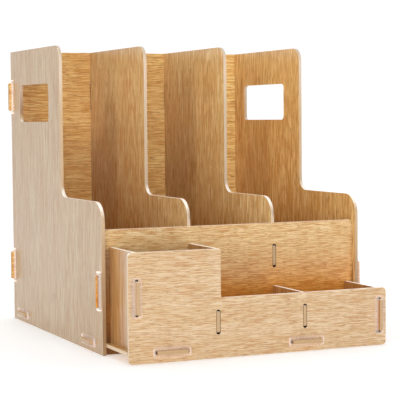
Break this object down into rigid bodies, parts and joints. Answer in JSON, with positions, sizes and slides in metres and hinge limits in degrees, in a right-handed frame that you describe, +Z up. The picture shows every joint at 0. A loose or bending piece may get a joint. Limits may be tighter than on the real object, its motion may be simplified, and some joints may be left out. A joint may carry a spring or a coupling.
{
  "type": "magazine file holder",
  "caption": "Desktop magazine file holder of slotted boards: stepped file rack with carrying holes behind a low pen tray, locked by clear clips over the tabs.",
  "frame": {"origin": "centre of the overall box in plan, on the surface that the holder stands on", "axes": "+Z up, -Y towards the user (the pen tray side), +X to the user's right, so the holder is longest along Y"},
  "size_m": [0.259, 0.3224, 0.27],
  "materials": {
    "oak_board": "satin oak laminate",
    "clear_plastic": "clear gloss"
  },
  "bodies": {
    "root": {"back_panel": "oak_board", "bottom_board": "oak_board", "clip_back_left_lower": "clear_plastic", "clip_back_left_upper": "clear_plastic", "clip_back_right_lower": "clear_plastic", "clip_back_right_upper": "clear_plastic", "clip_inner_left": "clear_plastic", "clip_inner_right": "clear_plastic", "clip_left_bottom_front": "clear_plastic", "clip_left_bottom_rear": "clear_plastic", "clip_left_front": "clear_plastic", "clip_left_rear_lower": "clear_plastic", "clip_left_rear_upper": "clear_plastic", "clip_right_bottom_front": "clear_plastic", "clip_right_bottom_rear": "clear_plastic", "clip_right_front": "clear_plastic", "clip_right_rear_lower": "clear_plastic", "clip_right_rear_upper": "clear_plastic", "clip_tray_bottom_left": "clear_plastic", "clip_tray_bottom_right": "clear_plastic", "clip_tray_left": "clear_plastic", "clip_tray_right": "clear_plastic", "front_panel": "oak_board", "left_divider": "oak_board", "left_side_panel": "oak_board", "right_divider": "oak_board", "right_side_panel": "oak_board", "tray_bottom_board": "oak_board", "tray_front_panel": "oak_board", "tray_left_divider": "oak_board", "tray_left_wall": "oak_board", "tray_right_divider": "oak_board", "tray_right_wall": "oak_board"}
  },
  "joints": []
}
